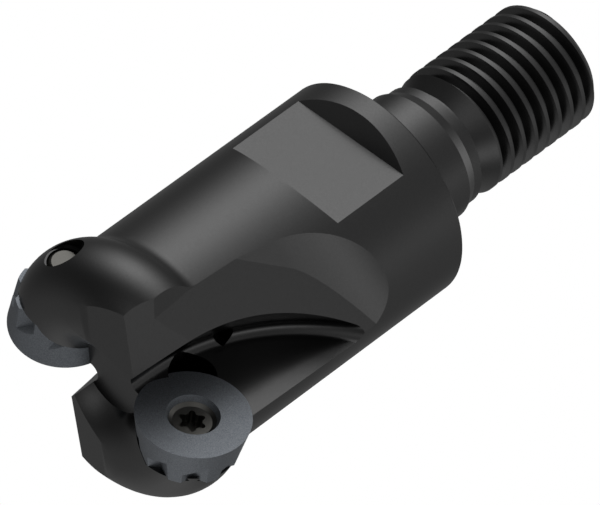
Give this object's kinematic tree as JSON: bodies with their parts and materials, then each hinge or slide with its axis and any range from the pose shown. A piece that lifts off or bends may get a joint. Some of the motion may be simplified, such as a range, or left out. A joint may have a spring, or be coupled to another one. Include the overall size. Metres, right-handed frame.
{
  "type": "screw-in milling cutter head",
  "caption": "Screw-in milling head: a turned black steel body with chip gullets, round carbide inserts held by countersunk screws, wrench flats, a pilot and a threaded shank.",
  "frame": {"origin": "centre of the seating face, where the pilot starts", "axes": "+Z along the cutter's axis towards the nose; insert 1 lies towards +X and its rake face looks towards +Y"},
  "size_m": [0.025, 0.024, 0.0568],
  "materials": {
    "blackened_steel": "satin black oxide",
    "coated_carbide": "fine speckled grey coating",
    "screw_steel": "dark satin"
  },
  "bodies": {
    "root": {"cutter_body": "blackened_steel", "insert_1": "coated_carbide", "insert_2": "coated_carbide", "insert_screw_1": "screw_steel", "insert_screw_2": "screw_steel"}
  },
  "joints": []
}
